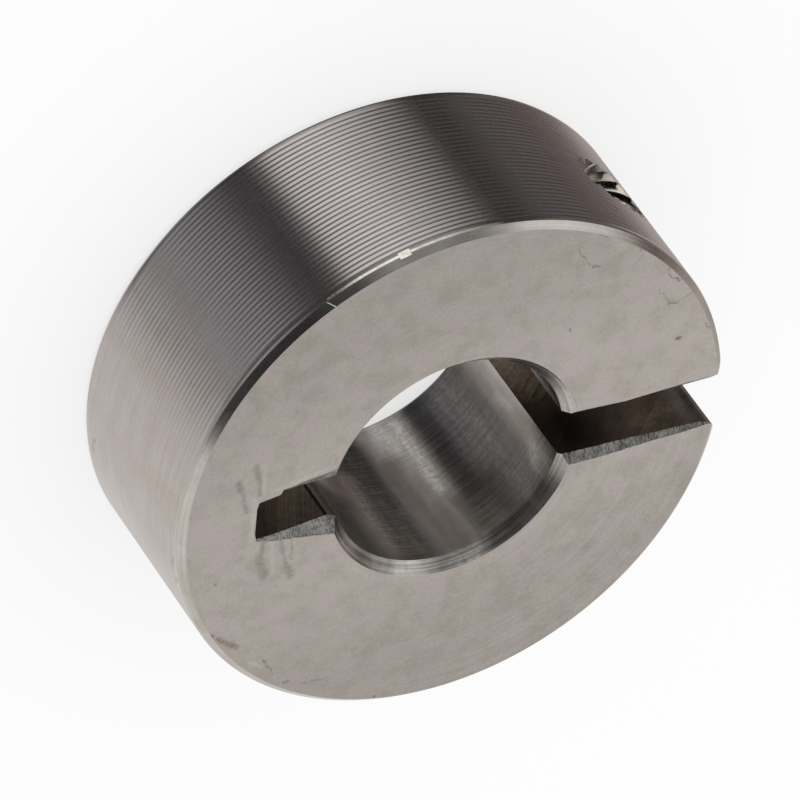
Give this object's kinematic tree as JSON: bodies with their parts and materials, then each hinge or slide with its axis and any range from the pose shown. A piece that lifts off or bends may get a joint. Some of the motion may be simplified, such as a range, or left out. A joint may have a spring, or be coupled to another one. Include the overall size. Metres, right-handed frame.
{
  "type": "one-piece shaft collar",
  "caption": "Clamp-type shaft collar: a turned steel ring with a saw-cut slit, closed on a plain round shaft by a socket head cap screw across the slit.",
  "frame": {"origin": "on the bore axis, at the lower side face that the collar stands on", "axes": "+Z along the bore, +X out through the open slit, -Y towards the head of the clamp screw"},
  "size_m": [0.0239, 0.024, 0.009],
  "materials": {
    "collar_steel": "turned stainless steel, ground side faces",
    "screw_steel": "cold-formed stainless steel"
  },
  "bodies": {
    "collar": {"collar_body": "collar_steel"},
    "screw": {"clamp_screw": "screw_steel"}
  },
  "joints": [
    {"name": "screw_turn", "type": "hinge", "parent": "collar", "child": "screw", "pos_m": [0.0085, -0.0022, 0.0045], "axis": [0, -1, 0], "range_deg": [0, 720]}
  ]
}
